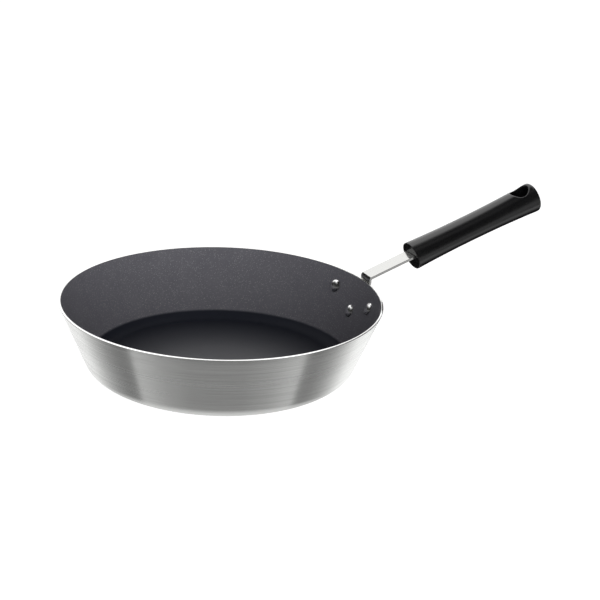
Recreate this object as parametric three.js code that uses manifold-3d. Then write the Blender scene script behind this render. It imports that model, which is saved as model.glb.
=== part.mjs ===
// A round, flared frying pan with a non-stick lining, a riveted steel handle bracket and a moulded grip.
// Millimetres, +Z up. The origin is the centre of the flat base, and the handle points along +X.

import * as THREE from "three";
import { mergeVertices } from "three/addons/utils/BufferGeometryUtils.js";
import Module from "manifold-3d";

// Pan
const rimDiameter = 300; // over the outer edge of the rim
const wallHeight = 67.2; // from the base to the outer edge of the rim
const wallFlareDegrees = 22.3; // lean of the wall, outwards from upright
const wallThickness = 2;
const cornerRadius = 19.5; // outside, between the base and the wall

// Non-stick lining
const liningThickness = 0.4;
const liningGap = 0.1; // between the lining and the metal
const liningBelowRim = 0.5; // along the wall, from the rim's cut face down to the lining's edge

// Rivets
const rivetShankDiameter = 6;
const rivetHeadDiameter = 13; // domed head, inside the pan
const rivetHeadHeight = 3;
const rivetTailDiameter = 11; // upset end, outside the pan
const rivetTailHeight = 2.2;
const upperRivetSpacing = 70; // straight across, centre to centre
const upperRivetDrop = 17.8; // along the wall, from the rim to the centre
const lowerRivetDrop = 32.9;

// Handle bracket: a plate on the wall, a strap over the rim and a tang inside the grip
const strapWidth = 17.5;
const strapThickness = 2.5;
const plateEdge = 10.5; // from a rivet's centre to the edge of the plate
const neckFilletRadius = 6; // where the strap leaves the plate
const kneeAboveRim = 0.5; // along the wall, from the rim to the corner where the strap turns upright
const uprightRun = 2.55; // straight stretch between the strap's two bends
const bendRadius = 1; // inside of both bends
const handleRiseDegrees = 19.2; // slope of the strap and the grip
const strapReach = 51; // from the strap's upper corner to the grip's front face

// Grip
const gripLength = 145.2;
const gripFrontWidth = 31;
const gripFrontHeight = 27.1;
const gripWaistWidth = 28.8; // halfway along
const gripWaistHeight = 24.3;
const gripTailWidth = 29.7;
const gripTailHeight = 30.5;
const gripFrontEdgeRadius = 0.6;
const gripTailEdgeRadius = 3.5;
const strapAboveGripAxis = 1.6;
const hangingHoleLength = 18.2; // along the grip
const hangingHoleSideWall = 4.8; // thinnest grip beside the hole's upper mouth
const hangingHoleLowerWidth = 12; // across the lower mouth
const hangingHoleTailWall = 5.9; // between the hole and the tail end
const tangEndWall = 25.5; // between the tang and the hole

// Grip screw, driven from the underside through the tang
const screwFromTangEnd = 35; // tang's end to the screw's axis
const screwDiameter = 4;
const screwHeadDiameter = 8;
const screwHeadHeight = 3;
const screwHeadRecess = 3; // from the grip's underside to the head
const screwReach = 4; // beyond the tang

// Clearances
const fitClearance = 0.3; // between pieces that seat on each other, and around shanks, tang and screw
const cutMargin = 2; // how far a cutting shape runs past what it cuts

// Fineness of the round surfaces
const panSegments = 80;
const cornerSteps = 7;
const rivetSegments = 20;
const domeSteps = 5;
const gripSegments = 48;
const gripRings = 14;
const edgeSteps = 4;
const outlineSteps = 8;
const bendSteps = 6;

const wasm = await Module();
wasm.setup();

// Directions and points in the upright plane through the handle, as Vector2(radius, height)
const flare = THREE.MathUtils.degToRad(wallFlareDegrees);
const rise = THREE.MathUtils.degToRad(handleRiseDegrees);
const wallUp = new THREE.Vector2(Math.sin(flare), Math.cos(flare));
const wallOut = new THREE.Vector2(Math.cos(flare), -Math.sin(flare));
const upright = new THREE.Vector2(0, 1);
const strapAlong = new THREE.Vector2(Math.cos(rise), Math.sin(rise));
const strapDown = new THREE.Vector2(Math.sin(rise), -Math.cos(rise));
const rimEdge = new THREE.Vector2(rimDiameter / 2, wallHeight);
const cornerTurn = Math.PI / 2 - flare;
const baseRadius = rimEdge.x - wallHeight * Math.tan(flare) - cornerRadius * Math.tan(cornerTurn / 2);
const liningInset = wallThickness + liningGap;
const insideInset = liningInset + liningThickness;

// The strap's middle line: its offset from the wall, and how far each bend reaches from its corner
const bracketOffset = fitClearance + strapThickness / 2;
const bendMiddleRadius = bendRadius + strapThickness / 2;
const kneeTangent = bendMiddleRadius * Math.tan(flare / 2);
const crownTangent = bendMiddleRadius * Math.tan((Math.PI / 2 - rise) / 2);
const plateTopDrop = upperRivetDrop - plateEdge;

// Places along the grip, from its front face
const hangingHoleCentre = gripLength - hangingHoleTailWall - hangingHoleLength / 2;
const tangLength = hangingHoleCentre - hangingHoleLength / 2 - tangEndWall;
const screwPlace = tangLength - screwFromTangEnd;

// Point on the wall's section: outset from the outer surface (negative is inwards), drop below the rim.
function wallPoint(outset, drop) {
  return rimEdge.clone().addScaledVector(wallOut, outset).addScaledVector(wallUp, -drop);
}

// Closed geometry as a solid that can be cut and joined, with its shared corners merged.
function solidOf(geometry) {
  const bare = geometry.clone();
  bare.deleteAttribute("normal");
  bare.deleteAttribute("uv");
  const merged = mergeVertices(bare);
  const corners = merged.index.array;
  const triangles = [];
  for (let i = 0; i < corners.length; i += 3) {
    const [a, b, c] = corners.slice(i, i + 3);
    if (a !== b && b !== c && c !== a) {
      triangles.push(a, b, c);
    }
  }
  const vertProperties = new Float32Array(merged.attributes.position.array);
  const triVerts = new Uint32Array(triangles);
  return new wasm.Manifold(new wasm.Mesh({ numProp: 3, vertProperties, triVerts }));
}

function geometryOf(solid) {
  const mesh = solid.getMesh();
  const geometry = new THREE.BufferGeometry();
  geometry.setAttribute("position", new THREE.BufferAttribute(mesh.vertProperties, 3));
  geometry.setIndex(new THREE.BufferAttribute(mesh.triVerts, 1));
  geometry.computeVertexNormals();
  return geometry;
}

// Profile of (radius, height) points, counter-clockwise, turned about +Z.
function turned(profile, segments) {
  return new THREE.LatheGeometry(profile, segments).rotateX(Math.PI / 2);
}

// Outline in (x, y), extruded along +Z from one height to another.
function extruded(shape, from, to) {
  const options = { depth: to - from, bevelEnabled: false, curveSegments: outlineSteps };
  return new THREE.ExtrudeGeometry(shape, options).translate(0, 0, from);
}

function rod(diameter, from, to) {
  const radius = diameter / 2;
  const profile = [
    new THREE.Vector2(0, from),
    new THREE.Vector2(radius, from),
    new THREE.Vector2(radius, to),
    new THREE.Vector2(0, to),
  ];
  return turned(profile, rivetSegments);
}

function finished(color, roughness, metalness) {
  return new THREE.MeshStandardMaterial({ color, roughness, metalness });
}

function piece(name, geometry, material) {
  const mesh = new THREE.Mesh(geometry, material);
  mesh.name = name;
  return mesh;
}

// Section line of the pan from the axis to the rim, moved in from the outer surface and ended below the rim.
function panLine(inset, drop) {
  const line = [new THREE.Vector2(0, inset)];
  for (let i = 0; i <= cornerSteps; i += 1) {
    const angle = -Math.PI / 2 + (cornerTurn * i) / cornerSteps;
    const radius = cornerRadius - inset;
    const r = baseRadius + radius * Math.cos(angle);
    const z = cornerRadius + radius * Math.sin(angle);
    line.push(new THREE.Vector2(r, z));
  }
  line.push(wallPoint(-inset, drop));
  return line;
}

// Where each rivet crosses the wall: its angle round the pan and its drop below the rim.
function rivetPlaces() {
  const upperRadius = wallPoint(0, upperRivetDrop).x;
  const upperAngle = Math.asin(upperRivetSpacing / 2 / upperRadius);
  return [
    { name: "rivet_left", angle: upperAngle, drop: upperRivetDrop },
    { name: "rivet_right", angle: -upperAngle, drop: upperRivetDrop },
    { name: "rivet_lower", angle: 0, drop: lowerRivetDrop },
  ];
}

// Turns a shape made along +Z to lie along the wall's outward normal, with its zero on the outer surface.
function wallPlacement(place) {
  const foot = wallPoint(0, place.drop);
  const spin = new THREE.Matrix4().makeRotationZ(place.angle);
  const shift = new THREE.Matrix4().makeTranslation(foot.x, 0, foot.y);
  const tilt = new THREE.Matrix4().makeRotationY(Math.PI / 2 + flare);
  return spin.multiply(shift).multiply(tilt);
}

// Removes the three rivet holes from a solid.
function withoutRivetHoles(solid) {
  const inside = -insideInset - cutMargin;
  const outside = fitClearance + strapThickness + cutMargin;
  const drill = rod(rivetShankDiameter + 2 * fitClearance, inside, outside);
  let cut = solid;
  for (const place of rivetPlaces()) {
    cut = cut.subtract(solidOf(drill.clone().applyMatrix4(wallPlacement(place))));
  }
  return cut;
}

function makePanBody() {
  const profile = [...panLine(0, 0), ...panLine(wallThickness, 0).reverse()];
  const body = withoutRivetHoles(solidOf(turned(profile, panSegments)));
  return piece("pan_body", geometryOf(body), finished(0xc9c9c6, 0.35, 1));
}

function makeLining() {
  const outer = panLine(liningInset, liningBelowRim);
  const inner = panLine(insideInset, liningBelowRim);
  const lining = withoutRivetHoles(solidOf(turned([...outer, ...inner.reverse()], panSegments)));
  return piece("nonstick_coating", geometryOf(lining), finished(0x3c3e42, 0.5, 0));
}

// Domed head inside, shank through the wall and the plate, upset end outside. Zero is the outer surface.
function rivetProfile(drop) {
  const headRadius = rivetHeadDiameter / 2;
  const tailRadius = rivetTailDiameter / 2;
  const shankRadius = rivetShankDiameter / 2;
  const wallRadius = wallPoint(-insideInset, drop).x;
  const wallBulge = headRadius ** 2 / wallRadius / 2; // how far the hollow wall curls up under the head's edge
  const headSeat = -insideInset - fitClearance - wallBulge;
  const tailSeat = 2 * fitClearance + strapThickness;
  const dome = (radius, height, seat, towards) => {
    const points = [];
    for (let i = 0; i <= domeSteps; i += 1) {
      const angle = ((Math.PI / 2) * i) / domeSteps;
      points.push(new THREE.Vector2(radius * Math.sin(angle), seat + towards * height * Math.cos(angle)));
    }
    return points;
  };
  return [
    ...dome(headRadius, rivetHeadHeight, headSeat, -1),
    new THREE.Vector2(shankRadius, headSeat),
    new THREE.Vector2(shankRadius, tailSeat),
    ...dome(tailRadius, rivetTailHeight, tailSeat, 1).reverse(),
  ];
}

function makeRivets() {
  const polished = finished(0xd8d8d6, 0.15, 1);
  return rivetPlaces().map((place) => {
    const rivet = turned(rivetProfile(place.drop), rivetSegments).applyMatrix4(wallPlacement(place));
    return piece(place.name, rivet, polished);
  });
}

// Outline of the plate and neck in the plane touching the wall at the handle: x is across, y is up the wall.
function plateOutline() {
  const [left, , lower] = rivetPlaces().map((place) => {
    const spot = wallPoint(0, place.drop);
    const across = spot.x * Math.sin(place.angle);
    const curledIn = spot.x * (Math.cos(place.angle) - 1);
    return new THREE.Vector2(across, curledIn * wallUp.x - place.drop);
  });
  const top = left.y + plateEdge;
  const halfNeck = strapWidth / 2;
  const fillet = neckFilletRadius;
  const neckEnd = kneeAboveRim - kneeTangent;
  const sideAngle = Math.atan2(lower.y - left.y, lower.x - left.x) + Math.PI / 2;
  const shape = new THREE.Shape();
  shape.moveTo(halfNeck, neckEnd);
  shape.lineTo(-halfNeck, neckEnd);
  shape.lineTo(-halfNeck, top + fillet);
  shape.absarc(-halfNeck - fillet, top + fillet, fillet, 0, -Math.PI / 2, true);
  shape.absarc(-left.x, left.y, plateEdge, Math.PI / 2, Math.PI - sideAngle, false);
  shape.absarc(lower.x, lower.y, plateEdge, Math.PI - sideAngle, 2 * Math.PI + sideAngle, false);
  shape.absarc(left.x, left.y, plateEdge, sideAngle, Math.PI / 2, false);
  shape.absarc(halfNeck + fillet, top + fillet, fillet, -Math.PI / 2, -Math.PI, true);
  return shape;
}

// The plate: a shell that follows the flared wall, trimmed to its outline.
function plateSolid() {
  const lowest = lowerRivetDrop + plateEdge + cutMargin;
  const ring = [
    wallPoint(fitClearance, lowest),
    wallPoint(fitClearance + strapThickness, lowest),
    wallPoint(fitClearance + strapThickness, -kneeAboveRim),
    wallPoint(fitClearance, -kneeAboveRim),
    wallPoint(fitClearance, lowest),
  ];
  const shell = solidOf(turned(ring, panSegments));
  const acrossUpOut = new THREE.Matrix4().makeBasis(
    new THREE.Vector3(0, 1, 0),
    new THREE.Vector3(wallUp.x, 0, wallUp.y),
    new THREE.Vector3(wallOut.x, 0, wallOut.y),
  );
  const onWall = new THREE.Matrix4().makeTranslation(rimEdge.x, 0, rimEdge.y).multiply(acrossUpOut);
  const curlDepth = upperRivetSpacing / 2 + plateEdge;
  const punch = extruded(plateOutline(), -curlDepth, strapThickness + cutMargin).applyMatrix4(onWall);
  return shell.intersect(solidOf(punch));
}

// Upper corner of the strap's middle line, where its upright and sloping runs would meet.
function crownCorner() {
  const knee = wallPoint(bracketOffset, -kneeAboveRim);
  return knee.addScaledVector(upright, kneeTangent + uprightRun + crownTangent);
}

// Outline of a strip of even thickness whose middle line runs through the corners, each rounded by a bend.
function bentStrip(corners) {
  const leftFace = [];
  const rightFace = [];
  const leftOf = (direction) => new THREE.Vector2(-direction.y, direction.x);
  const addStation = (point, direction) => {
    leftFace.push(point.clone().addScaledVector(leftOf(direction), strapThickness / 2));
    rightFace.unshift(point.clone().addScaledVector(leftOf(direction), -strapThickness / 2));
  };
  const runs = corners.slice(1).map((corner, i) => corner.clone().sub(corners[i]).normalize());
  addStation(corners[0], runs[0]);
  for (let i = 1; i < runs.length; i += 1) {
    const turn = Math.atan2(runs[i - 1].cross(runs[i]), runs[i - 1].dot(runs[i]));
    const toCentre = Math.sign(turn) * bendMiddleRadius;
    const tangent = bendMiddleRadius * Math.tan(Math.abs(turn) / 2);
    const start = corners[i].clone().addScaledVector(runs[i - 1], -tangent);
    const centre = start.addScaledVector(leftOf(runs[i - 1]), toCentre);
    for (let step = 0; step <= bendSteps; step += 1) {
      const direction = runs[i - 1].clone().rotateAround(new THREE.Vector2(), (turn * step) / bendSteps);
      addStation(centre.clone().addScaledVector(leftOf(direction), -toCentre), direction);
    }
  }
  addStation(corners.at(-1), runs.at(-1));
  return new THREE.Shape([...rightFace, ...leftFace]);
}

// The strap: from the plate up the wall, upright past the rim, then sloping to the end of the tang.
function strapSolid() {
  const foot = wallPoint(bracketOffset, plateTopDrop);
  const knee = wallPoint(bracketOffset, -kneeAboveRim);
  const crown = crownCorner();
  const end = crown.clone().addScaledVector(strapAlong, strapReach + tangLength);
  const side = bentStrip([foot, knee, crown, end]);
  return solidOf(extruded(side, -strapWidth / 2, strapWidth / 2).rotateX(Math.PI / 2));
}

// The grip's frame: its zero is the centre of the front face, with +X along the grip.
function gripPlacement() {
  const onStrap = crownCorner().addScaledVector(strapAlong, strapReach);
  const centre = onStrap.addScaledVector(strapDown, strapAboveGripAxis);
  const shift = new THREE.Matrix4().makeTranslation(centre.x, 0, centre.y);
  return shift.multiply(new THREE.Matrix4().makeRotationY(-rise));
}

function makeBracket() {
  const screwHole = rod(screwDiameter + 2 * fitClearance, -gripFrontHeight, gripFrontHeight);
  screwHole.translate(screwPlace, 0, 0).applyMatrix4(gripPlacement());
  const bracket = withoutRivetHoles(plateSolid()).add(strapSolid()).subtract(solidOf(screwHole));
  return piece("handle_bracket", geometryOf(bracket), finished(0xd2d2cf, 0.2, 1));
}

// Value at a place along the grip, on the parabola through its values at the front, halfway and at the tail.
function alongGrip(x, front, waist, tail) {
  const share = x / gripLength;
  const fromFront = front * (1 - share) * (1 - 2 * share);
  const fromWaist = waist * 4 * share * (1 - share);
  const fromTail = tail * share * (2 * share - 1);
  return fromFront + fromWaist + fromTail;
}

function gripHalfWidth(x) {
  return alongGrip(x, gripFrontWidth, gripWaistWidth, gripTailWidth) / 2;
}

function gripHalfHeight(x) {
  return alongGrip(x, gripFrontHeight, gripWaistHeight, gripTailHeight) / 2;
}

// Stations along the grip, with how far the rounded end edges pull the section in at each.
function gripStations() {
  const stations = [];
  const quarter = (step) => ((Math.PI / 2) * step) / edgeSteps;
  for (let i = 0; i < edgeSteps; i += 1) {
    const x = gripFrontEdgeRadius * (1 - Math.cos(quarter(i)));
    stations.push({ x, inset: gripFrontEdgeRadius * (1 - Math.sin(quarter(i))) });
  }
  const straight = gripLength - gripFrontEdgeRadius - gripTailEdgeRadius;
  for (let i = 0; i <= gripRings; i += 1) {
    stations.push({ x: gripFrontEdgeRadius + (straight * i) / gripRings, inset: 0 });
  }
  for (let i = 1; i <= edgeSteps; i += 1) {
    const x = gripLength - gripTailEdgeRadius * (1 - Math.sin(quarter(i)));
    stations.push({ x, inset: gripTailEdgeRadius * (1 - Math.cos(quarter(i))) });
  }
  return stations;
}

// The grip before it is cut: oval sections at the stations, skinned, with flat ends.
function gripBlank() {
  const stations = gripStations();
  const positions = [];
  for (const { x, inset } of stations) {
    const halfWidth = gripHalfWidth(x) - inset;
    const halfHeight = gripHalfHeight(x) - inset;
    for (let j = 0; j < gripSegments; j += 1) {
      const angle = (2 * Math.PI * j) / gripSegments;
      positions.push(x, halfWidth * Math.cos(angle), halfHeight * Math.sin(angle));
    }
  }
  const frontCentre = positions.length / 3;
  positions.push(0, 0, 0, gripLength, 0, 0);
  const index = [];
  const lastRing = (stations.length - 1) * gripSegments;
  for (let j = 0; j < gripSegments; j += 1) {
    const next = (j + 1) % gripSegments;
    for (let ring = 0; ring < lastRing; ring += gripSegments) {
      const onward = ring + gripSegments;
      index.push(ring + j, ring + next, onward + next, ring + j, onward + next, onward + j);
    }
    index.push(frontCentre, next, j, frontCentre + 1, lastRing + j, lastRing + next);
  }
  const blank = new THREE.BufferGeometry();
  blank.setAttribute("position", new THREE.BufferAttribute(new Float32Array(positions), 3));
  blank.setIndex(index);
  return blank;
}

// Heights of the screw's seat and tip in the grip's frame.
function screwHeights() {
  const seat = screwHeadRecess + screwHeadHeight + fitClearance - gripHalfHeight(screwPlace);
  const tip = strapAboveGripAxis + strapThickness / 2 + screwReach;
  return { seat, tip };
}

// Cutting shape of the hanging hole: an oval that narrows evenly from its upper mouth to its lower one.
function hangingHole(reach) {
  const upperHalfWidth = gripHalfWidth(hangingHoleCentre) - hangingHoleSideWall;
  const lowerHalfWidth = hangingHoleLowerWidth / 2;
  const middleHalfWidth = (upperHalfWidth + lowerHalfWidth) / 2;
  const spread = (upperHalfWidth - lowerHalfWidth) / (2 * gripHalfHeight(hangingHoleCentre));
  const outline = new THREE.Shape();
  outline.absellipse(hangingHoleCentre, 0, hangingHoleLength / 2, 1, 0, 2 * Math.PI);
  const hole = extruded(outline, -reach, reach);
  const places = hole.getAttribute("position");
  for (let i = 0; i < places.count; i += 1) {
    places.setY(i, places.getY(i) * (middleHalfWidth + spread * places.getZ(i)));
  }
  return hole;
}

function makeGrip() {
  const tallest = Math.max(gripFrontHeight, gripWaistHeight, gripTailHeight);
  const slotLength = tangLength + fitClearance + cutMargin;
  const slotWidth = strapWidth + 2 * fitClearance;
  const slot = new THREE.BoxGeometry(slotLength, slotWidth, strapThickness + 2 * fitClearance);
  slot.translate(slotLength / 2 - cutMargin, 0, strapAboveGripAxis);
  const hole = hangingHole(tallest);
  const { seat, tip } = screwHeights();
  const bore = rod(screwDiameter + 2 * fitClearance, -tallest, tip + fitClearance);
  const counterbore = rod(screwHeadDiameter + 2 * fitClearance, -tallest, seat);
  let grip = solidOf(gripBlank()).subtract(solidOf(slot)).subtract(solidOf(hole));
  for (const cutter of [bore, counterbore]) {
    grip = grip.subtract(solidOf(cutter.translate(screwPlace, 0, 0)));
  }
  const geometry = geometryOf(grip).applyMatrix4(gripPlacement());
  return piece("handle_grip", geometry, finished(0x17171a, 0.4, 0));
}

function makeScrew() {
  const { seat, tip } = screwHeights();
  const shankRadius = screwDiameter / 2;
  const headRadius = screwHeadDiameter / 2;
  const headTop = seat - fitClearance;
  const headBottom = headTop - screwHeadHeight;
  const profile = [
    new THREE.Vector2(0, headBottom),
    new THREE.Vector2(headRadius, headBottom),
    new THREE.Vector2(headRadius, headTop),
    new THREE.Vector2(shankRadius, headTop),
    new THREE.Vector2(shankRadius, tip),
    new THREE.Vector2(0, tip),
  ];
  const screw = turned(profile, rivetSegments).translate(screwPlace, 0, 0);
  return piece("grip_screw", screw.applyMatrix4(gripPlacement()), finished(0xb8b8b5, 0.3, 1));
}

const fryingPan = new THREE.Group();
fryingPan.add(makePanBody());
fryingPan.add(makeLining());
fryingPan.add(makeBracket());
fryingPan.add(...makeRivets());
fryingPan.add(makeGrip());
fryingPan.add(makeScrew());

export default fryingPan;
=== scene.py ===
"""Looks of a round, flared frying pan with a riveted handle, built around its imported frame.

Shapes are worked out in millimetres as numpy arrays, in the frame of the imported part: the origin is the
centre of the flat base, +Z is up and the handle points along +X. They go into their meshes in metres.
"""

import math

import bpy
import numpy as np
from mathutils import Matrix
from mathutils.geometry import delaunay_2d_cdt


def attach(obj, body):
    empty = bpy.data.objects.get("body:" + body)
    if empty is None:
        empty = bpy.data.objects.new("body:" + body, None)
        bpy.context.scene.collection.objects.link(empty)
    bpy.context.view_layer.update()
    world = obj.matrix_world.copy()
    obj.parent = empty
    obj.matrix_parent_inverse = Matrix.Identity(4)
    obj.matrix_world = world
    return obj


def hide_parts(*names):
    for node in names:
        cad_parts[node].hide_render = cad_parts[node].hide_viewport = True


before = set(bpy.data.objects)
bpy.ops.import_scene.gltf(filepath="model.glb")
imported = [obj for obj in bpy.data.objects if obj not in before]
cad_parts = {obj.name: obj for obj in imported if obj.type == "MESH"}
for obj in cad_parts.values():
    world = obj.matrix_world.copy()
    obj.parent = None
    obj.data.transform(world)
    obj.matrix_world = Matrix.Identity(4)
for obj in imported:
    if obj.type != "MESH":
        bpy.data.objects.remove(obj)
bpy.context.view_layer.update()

MM = 0.001

# Pan
RIM_RADIUS = 150.0
WALL_HEIGHT = 67.2
FLARE = math.radians(22.3)
WALL_THICKNESS = 2.0
CORNER_RADIUS = 19.5
RIM_EDGE_RADIUS = 0.35
# Depth below the rim's top over which the colour carries a painted highlight, near white
RIM_PAINTED_HIGHLIGHT_BAND = 0.25
PAN_SEGMENTS = 360
PAN_RUN_STEP = 4.0
CORNER_STEPS = 28
EDGE_STEPS = 5

# Non-stick lining
LINING_INSET = 2.1
INSIDE_INSET = 2.5
LINING_BELOW_RIM = 0.5
LINING_EDGE_RADIUS = 0.15
LINING_EDGE_STEPS = 4

# Heights where the painted shade on the lining's floor gives way to its lighter wall, and radii where its
# gloss fades, in metres
COATING_FLOOR_SHADE_FADE = (0.0083, 0.0107)
COATING_GLOSS_FADE = (0.042, 0.112)

# Rivets
RIVET_SHANK_RADIUS = 3.0
RIVET_HEAD_RADIUS = 6.5
RIVET_HEAD_HEIGHT = 3.0
RIVET_TAIL_RADIUS = 5.5
RIVET_TAIL_HEIGHT = 2.2
RIVET_SEAT_GAP = 0.05
UPPER_RIVET_SPACING = 70.0
UPPER_RIVET_DROP = 17.8
LOWER_RIVET_DROP = 32.9
RIVET_SEGMENTS = 72
DOME_STEPS = 18
DOME_REACH_POWER = 0.92
DOME_HEIGHT_POWER = 0.9

# Handle bracket
STRAP_WIDTH = 17.5
STRAP_THICKNESS = 2.5
STRAP_EDGE_RADIUS = 0.35
PLATE_EDGE = 10.5
NECK_FILLET_RADIUS = 6.0
WALL_CLEARANCE = 0.3
KNEE_ABOVE_RIM = 0.5
UPRIGHT_RUN = 2.55
BEND_RADIUS = 2.25
HANDLE_RISE = math.radians(19.2)
STRAP_REACH = 51.0
TANG_CORNER_RADIUS = 1.5
BRACKET_HOLE_EDGE = 0.3
BRACKET_HOLE_SEGMENTS = 40
BEND_STEPS = (24, 48)
STRAP_RUN_STEP = 2.0
OUTLINE_STEPS = (6, 14, 22, 26, 22, 14, 6)
OUTLINE_RUN_STEP = 0.9
BRACKET_MESH = 1.5

# Grip
GRIP_LENGTH = 145.2
GRIP_WIDTHS = (31.0, 28.8, 29.7)
GRIP_HEIGHTS = (27.1, 24.3, 30.5)
GRIP_FRONT_EDGE = 0.6
GRIP_TAIL_EDGE = 3.5
STRAP_ABOVE_GRIP_AXIS = 1.6
HOLE_LENGTH = 18.2
HOLE_SIDE_WALL = 4.8
HOLE_LOWER_WIDTH = 12.0
HOLE_TAIL_WALL = 5.9
HOLE_EDGE = 1.8
TANG_END_WALL = 25.5
SLOT_CLEARANCE = 0.3
SLOT_EDGE = 0.3
GRIP_CELL = 0.5

# Grip screw
SCREW_FROM_TANG_END = 35.0
SCREW_RADIUS = 2.0
SCREW_HEAD_RADIUS = 4.0
SCREW_HEAD_HEIGHT = 3.0
SCREW_HEAD_RECESS = 3.0
SCREW_REACH = 4.0
SCREW_CROWN_RADIUS = 8.8
SCREW_HEAD_EDGE = 0.4
SCREW_SHANK_IN_HEAD = 0.5
SCREW_POINT_SLOPE = 0.8
RECESS_REACH = 2.4
RECESS_DEPTH = 1.8
RECESS_HALF_WIDTH = 0.55
RECESS_TAPER = 0.12
RECESS_EDGE = 0.15
THREAD_HALF_DEPTH = 0.2
THREAD_PITCH = 1.4
SCREW_CELL = 0.14

# Camera
VIEW_AZIMUTH = math.radians(-23.7)
VIEW_ELEVATION = math.radians(21.6)
VIEW_DISTANCE = 1.499
VIEW_AIM_HEIGHT = 0.035
CAMERA_HEADING = math.radians(-26.68)
CAMERA_TILT = math.radians(69.609)
CAMERA_ROLL = math.radians(2.51)
CAMERA_LENS = 96.163
CAMERA_SENSOR = 36.0

# Studio by directions of the view: x to the right, y away from the camera, z up. A pair is where a rise or
# a fall starts and is complete, and four limits are those of a rise and then a fall. Low cards are (bearing
# of the halfway normal in degrees, level), high ones (sine of the elevation, level).
LOW_CARDS = [(0, 0.165), (10, 0.175), (20, 0.285), (25, 0.395), (30, 0.51), (32.0, 0.54), (33.3, 0.16)]
LOW_CARDS += [(37, 0.15), (40, 0.19), (45, 0.32), (50, 0.54), (55, 0.84), (60, 1.12), (65, 1.2)]
LOW_CARDS_SHIFT = 0.02
UNDER_CARD_SLOPE = (math.radians(22.5), math.radians(41))
UNDER_CARD_LEVEL = 0.87
HORIZON = 0.03
FRONT_CARDS = [(0.0, 0.25), (0.15, 0.1), (0.4, 0.015), (0.8, 0.02), (1.0, 0.12)]
BACK_CARDS = [(0.0, 1.0), (0.2, 1.1), (0.4, 1.3), (0.6, 1.15), (0.8, 1.4), (0.9, 1.5), (0.94, 1.0)]
BACK_CARDS += [(0.965, 0.3), (0.985, 0.1), (1.0, 0.05)]
SOFTBOX_ACROSS = (-0.9, -0.65, 0.36, 0.46)
SOFTBOX_BEHIND = (-0.4, 0.2)
FLAG_LEFT = (-0.5, -0.62)
FLAG_BEHIND = (0.1, 0.3)
FLAG_HEIGHTS = (-0.5, -0.4, 0.2, 0.34)
FLAG_LEVEL = 0.03
LOW_LIGHT_LEAN = 0.3
LOW_LIGHT_FRONT = (-0.05, 0.6)
LOW_LIGHT_TOP = (0.45, 0.8)
LOW_LIGHT = 2.6
LIGHT_ELSEWHERE = 0.12

# Floor as (corner, far corner, height), level cards as (corner, far corner, height, front and back level),
# and the Y range of the fade between those levels, in metres in the part's frame
FLOOR = ((-6, -6), (6, 6), -0.0004)
LEVEL_CARDS = {
    "under_handle_card": ((0.215, -0.13), (0.62, 0.1), -0.0002, (0.85, 0.02)),
    "behind_handle_card": ((0.28, 0.1), (0.95, 1.1), -0.0002, (0.02, 0.02)),
    "grip_face_card": ((0.148, 0.03), (0.24, 0.18), 0.04, (0.02, 0.02)),
    "bend_card": ((0.12, 0.001), (0.151, 0.036), 0.08, (0.02, 0.02)),
}
CARD_FADE = (-0.09, -0.005)

# Directions and points of the section through the handle, as (radius, height)
WALL_UP = np.array([math.sin(FLARE), math.cos(FLARE)])
WALL_OUT = np.array([math.cos(FLARE), -math.sin(FLARE)])
STRAP_ALONG = np.array([math.cos(HANDLE_RISE), math.sin(HANDLE_RISE)])
STRAP_DOWN = np.array([math.sin(HANDLE_RISE), -math.cos(HANDLE_RISE)])
RIM = np.array([RIM_RADIUS, WALL_HEIGHT])
BRACKET_OFFSET = WALL_CLEARANCE + STRAP_THICKNESS / 2
HOLE_CENTRE = GRIP_LENGTH - HOLE_TAIL_WALL - HOLE_LENGTH / 2
TANG_LENGTH = HOLE_CENTRE - HOLE_LENGTH / 2 - TANG_END_WALL
SCREW_PLACE = TANG_LENGTH - SCREW_FROM_TANG_END

# Step for measuring slopes
PROBE = 0.01


# Paths and sections

def wall_point(outset, drop):
    """Point of the wall's section: out from the outer surface, and down along the wall from the rim."""
    return RIM + outset * WALL_OUT - drop * WALL_UP


def floor_corner(inset):
    """Sharp corner of the section moved in by inset: the wall's line carried down to that height."""
    drop = (wall_point(-inset, 0)[1] - inset) / WALL_UP[1]
    return wall_point(-inset, drop)


def left_of(direction):
    """Direction turned a quarter turn to the left."""
    return np.stack([-direction[..., 1], direction[..., 0]], -1)


def corner_arc(before, corner, after, radius, steps):
    """Arc that rounds a corner: it touches both runs at radius times tan(half the turn) from the corner."""
    ahead = (corner - before) / np.linalg.norm(corner - before)
    onward = (after - corner) / np.linalg.norm(after - corner)
    turn = math.atan2(ahead[0] * onward[1] - ahead[1] * onward[0], ahead @ onward)
    signed_radius = math.copysign(radius, turn)
    centre = corner - radius * math.tan(abs(turn) / 2) * ahead + signed_radius * left_of(ahead)
    heading = math.atan2(ahead[1], ahead[0]) + np.linspace(0, turn, steps + 1)
    directions = np.stack([np.cos(heading), np.sin(heading)], -1)
    return centre - signed_radius * left_of(directions)


def straight_run(start, end, step):
    """Points from start to end, evenly spaced at no more than step, without the two ends."""
    count = max(1, math.ceil(np.linalg.norm(end - start) / step))
    share = np.linspace(0, 1, count + 1)[1:-1, None]
    return start + share * (end - start)


def rounded_path(corners, radii, steps, run_step, closed=False):
    """Straight runs through the corners, each rounded by its own radius in its own number of steps.

    An open path keeps its end points sharp. A closed one rounds every corner and runs back to its start.
    """
    corners = np.asarray(corners, float)
    if closed:
        around = zip(np.roll(corners, 1, 0), corners, np.roll(corners, -1, 0), radii, steps)
        stretches = [corner_arc(*corner) for corner in around]
    else:
        inner = zip(corners[:-2], corners[1:-1], corners[2:], radii, steps)
        stretches = [corners[:1], *(corner_arc(*corner) for corner in inner), corners[-1:]]
    following = stretches[1:] + stretches[:1]
    links = [straight_run(a[-1], b[0], run_step) for a, b in zip(stretches, following)]
    if not closed:
        links[-1] = np.empty((0, 2))
    return np.concatenate([part for pair in zip(stretches, links) for part in pair])


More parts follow.
